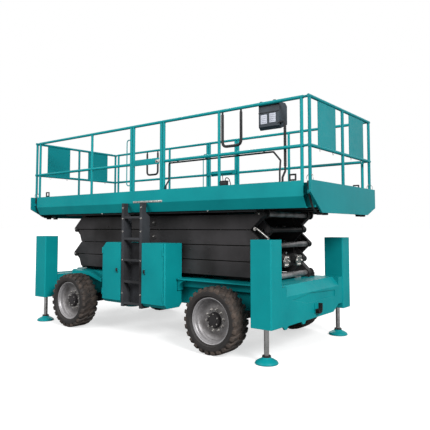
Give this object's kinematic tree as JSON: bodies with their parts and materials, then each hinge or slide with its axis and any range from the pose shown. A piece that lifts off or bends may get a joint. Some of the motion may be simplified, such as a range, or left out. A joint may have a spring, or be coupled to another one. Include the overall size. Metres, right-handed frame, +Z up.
{
  "type": "rough terrain scissor lift",
  "caption": "Rough-terrain scissor lift with a stowed four-level arm stack, railed deck with sliding extensions at both ends, side ladders and corner outriggers.",
  "frame": {"origin": "on the ground, at the centre of the machine in plan", "axes": "+X towards the steered end, +Y towards the left-hand side, +Z up"},
  "size_m": [5.52, 2.2992, 3.108],
  "materials": {
    "teal_paint": "gloss paint, light orange peel",
    "arm_paint": "satin black paint",
    "ladder_paint": "satin black paint",
    "barrel_paint": "grey paint",
    "axle_paint": "matt black paint",
    "rim_steel": "silver paint",
    "chrome": "hard chrome",
    "cast_metal": "raw casting",
    "black_plastic": "moulded plastic",
    "tyre": "dusty rubber"
  },
  "bodies": {
    "chassis": {"arm_seats": "teal_paint", "cabinet_front_left": "teal_paint", "cabinet_front_right": "teal_paint", "cabinet_rear_left": "teal_paint", "cabinet_rear_right": "teal_paint", "chassis_frame": "teal_paint", "engine_block": "cast_metal", "front_axle": "axle_paint", "ladder_left": "ladder_paint", "ladder_right": "ladder_paint", "outrigger_housing_front_left": "teal_paint", "outrigger_housing_front_right": "teal_paint", "outrigger_housing_rear_left": "teal_paint", "outrigger_housing_rear_right": "teal_paint", "rear_axle": "axle_paint", "tow_and_tie_points": "ladder_paint"},
    "wheel_front_right": {"tyre_front_right": "tyre", "rim_front_right": "rim_steel"},
    "outrigger_leg_front_right": {"leg_rod_front_right": "chrome", "leg_pad_front_right": "teal_paint"},
    "wheel_front_left": {"tyre_front_left": "tyre", "rim_front_left": "rim_steel"},
    "outrigger_leg_front_left": {"leg_rod_front_left": "chrome", "leg_pad_front_left": "teal_paint"},
    "wheel_rear_right": {"tyre_rear_right": "tyre", "rim_rear_right": "rim_steel"},
    "outrigger_leg_rear_right": {"leg_rod_rear_right": "chrome", "leg_pad_rear_right": "teal_paint"},
    "wheel_rear_left": {"tyre_rear_left": "tyre", "rim_rear_left": "rim_steel"},
    "outrigger_leg_rear_left": {"leg_rod_rear_left": "chrome", "leg_pad_rear_left": "teal_paint"},
    "knuckle_right": {"steering_knuckle_right": "axle_paint"},
    "gate_right": {"gate_bar_right": "teal_paint"},
    "door_front_right": {"cabinet_door_front_right": "teal_paint"},
    "door_rear_right": {"cabinet_door_rear_right": "teal_paint"},
    "knuckle_left": {"steering_knuckle_left": "axle_paint"},
    "gate_left": {"gate_bar_left": "teal_paint"},
    "door_front_left": {"cabinet_door_front_left": "teal_paint"},
    "door_rear_left": {"cabinet_door_rear_left": "teal_paint"},
    "outer_1": {"outer_arms_1": "arm_paint"},
    "inner_1": {"inner_arms_1": "arm_paint"},
    "outer_2": {"outer_arms_2": "arm_paint"},
    "inner_2": {"inner_arms_2": "arm_paint"},
    "outer_3": {"outer_arms_3": "arm_paint"},
    "inner_3": {"inner_arms_3": "arm_paint"},
    "outer_4": {"outer_arms_4": "arm_paint"},
    "inner_4": {"inner_arms_4": "arm_paint"},
    "barrels": {"lift_barrels": "barrel_paint"},
    "rods": {"lift_rods": "chrome"},
    "extension_front": {"extension_deck_front": "teal_paint", "extension_rails_front": "teal_paint"},
    "extension_rear": {"extension_deck_rear": "teal_paint", "extension_rails_rear": "teal_paint"},
    "platform": {"control_box": "black_plastic", "main_deck": "teal_paint", "main_rails_left": "teal_paint", "main_rails_right": "teal_paint", "platform_fittings": "black_plastic", "underframe": "teal_paint"}
  },
  "joints": [
    {"name": "steer_right", "type": "hinge", "parent": "chassis", "child": "knuckle_right", "pos_m": [1.43, -0.79, 0.419], "axis": [0, 0, 1], "range_deg": [-25, 25]},
    {"name": "steer_left", "type": "hinge", "parent": "chassis", "child": "knuckle_left", "pos_m": [1.43, 0.79, 0.419], "axis": [0, 0, 1], "range_deg": [-25, 25]},
    {"name": "wheel_spin_front_right", "type": "hinge", "parent": "knuckle_right", "child": "wheel_front_right", "pos_m": [1.43, -1.004, 0.419], "axis": [0, 1, 0], "continuous": true},
    {"name": "wheel_spin_front_left", "type": "hinge", "parent": "knuckle_left", "child": "wheel_front_left", "pos_m": [1.43, 1.004, 0.419], "axis": [0, 1, 0], "continuous": true},
    {"name": "wheel_spin_rear_right", "type": "hinge", "parent": "chassis", "child": "wheel_rear_right", "pos_m": [-1.43, -1.004, 0.419], "axis": [0, 1, 0], "continuous": true},
    {"name": "wheel_spin_rear_left", "type": "hinge", "parent": "chassis", "child": "wheel_rear_left", "pos_m": [-1.43, 1.004, 0.419], "axis": [0, 1, 0], "continuous": true},
    {"name": "leg_front_right", "type": "slide", "parent": "chassis", "child": "outrigger_leg_front_right", "axis": [0, 0, 1], "range_m": [-0.25, 0.3]},
    {"name": "leg_front_left", "type": "slide", "parent": "chassis", "child": "outrigger_leg_front_left", "axis": [0, 0, 1], "range_m": [-0.25, 0.3]},
    {"name": "leg_rear_right", "type": "slide", "parent": "chassis", "child": "outrigger_leg_rear_right", "axis": [0, 0, 1], "range_m": [-0.25, 0.3]},
    {"name": "leg_rear_left", "type": "slide", "parent": "chassis", "child": "outrigger_leg_rear_left", "axis": [0, 0, 1], "range_m": [-0.25, 0.3]},
    {"name": "lift", "type": "hinge", "parent": "chassis", "child": "outer_1", "pos_m": [1.885, 0, 0.925], "axis": [0, 1, 0], "range_deg": [0, 65]},
    {"name": "outer_fold_2", "type": "hinge", "parent": "outer_1", "child": "outer_2", "pos_m": [-1.885, 0, 1.13125], "axis": [0, 1, 0], "range_deg": [-130, 0]},
    {"name": "outer_fold_3", "type": "hinge", "parent": "outer_2", "child": "outer_3", "pos_m": [1.885, 0, 1.3375], "axis": [0, 1, 0], "range_deg": [0, 130]},
    {"name": "outer_fold_4", "type": "hinge", "parent": "outer_3", "child": "outer_4", "pos_m": [-1.885, 0, 1.54375], "axis": [0, 1, 0], "range_deg": [-130, 0]},
    {"name": "cross_fold_1", "type": "hinge", "parent": "outer_1", "child": "inner_1", "pos_m": [0, 0, 1.02813], "axis": [0, 1, 0], "range_deg": [-130, 0]},
    {"name": "cross_fold_2", "type": "hinge", "parent": "outer_2", "child": "inner_2", "pos_m": [0, 0, 1.23438], "axis": [0, 1, 0], "range_deg": [0, 130]},
    {"name": "cross_fold_3", "type": "hinge", "parent": "outer_3", "child": "inner_3", "pos_m": [0, 0, 1.44062], "axis": [0, 1, 0], "range_deg": [-130, 0]},
    {"name": "cross_fold_4", "type": "hinge", "parent": "outer_4", "child": "inner_4", "pos_m": [0, 0, 1.64688], "axis": [0, 1, 0], "range_deg": [0, 130]},
    {"name": "deck_level", "type": "hinge", "parent": "outer_4", "child": "platform", "pos_m": [1.885, 0, 1.75], "axis": [0, 1, 0], "range_deg": [0, 65]},
    {"name": "barrel_swing", "type": "hinge", "parent": "inner_1", "child": "barrels", "pos_m": [1.885, 0, 1.13125], "axis": [0, 1, 0], "range_deg": [0, 135.56]},
    {"name": "rod_slide", "type": "slide", "parent": "barrels", "child": "rods", "axis": [-0.9965, 0, 0.0838], "range_m": [0, 1.40696]},
    {"name": "extend_front", "type": "slide", "parent": "platform", "child": "extension_front", "axis": [1, 0, 0], "range_m": [0, 1.1]},
    {"name": "extend_rear", "type": "slide", "parent": "platform", "child": "extension_rear", "axis": [-1, 0, 0], "range_m": [0, 1.1]},
    {"name": "gate_lift_right", "type": "slide", "parent": "platform", "child": "gate_right", "axis": [0, 0, 1], "range_m": [0, 0.42]},
    {"name": "door_open_rear_right", "type": "hinge", "parent": "chassis", "child": "door_rear_right", "pos_m": [-0.703, -1.05, 0.9], "axis": [0, 0, -1], "range_deg": [0, 100]},
    {"name": "door_open_front_right", "type": "hinge", "parent": "chassis", "child": "door_front_right", "pos_m": [0.556, -1.05, 0.9], "axis": [0, 0, 1], "range_deg": [0, 100]},
    {"name": "gate_lift_left", "type": "slide", "parent": "platform", "child": "gate_left", "axis": [0, 0, 1], "range_m": [0, 0.42]},
    {"name": "door_open_rear_left", "type": "hinge", "parent": "chassis", "child": "door_rear_left", "pos_m": [-0.703, 1.05, 0.9], "axis": [0, 0, 1], "range_deg": [0, 100]},
    {"name": "door_open_front_left", "type": "hinge", "parent": "chassis", "child": "door_front_left", "pos_m": [0.556, 1.05, 0.9], "axis": [0, 0, -1], "range_deg": [0, 100]}
  ],
  "couplings": [
    {"joint": "outer_fold_2", "follows": "lift", "ratio": -2},
    {"joint": "outer_fold_3", "follows": "lift", "ratio": 2},
    {"joint": "outer_fold_4", "follows": "lift", "ratio": -2},
    {"joint": "cross_fold_1", "follows": "lift", "ratio": -2},
    {"joint": "cross_fold_2", "follows": "lift", "ratio": 2},
    {"joint": "cross_fold_3", "follows": "lift", "ratio": -2},
    {"joint": "cross_fold_4", "follows": "lift", "ratio": 2},
    {"joint": "deck_level", "follows": "lift", "ratio": 1},
    {"joint": "barrel_swing", "follows": "lift", "ratio": 2.0856},
    {"joint": "rod_slide", "follows": "lift", "m_per_rad": 1.2402},
    {"joint": "steer_left", "follows": "steer_right", "ratio": 1}
  ]
}
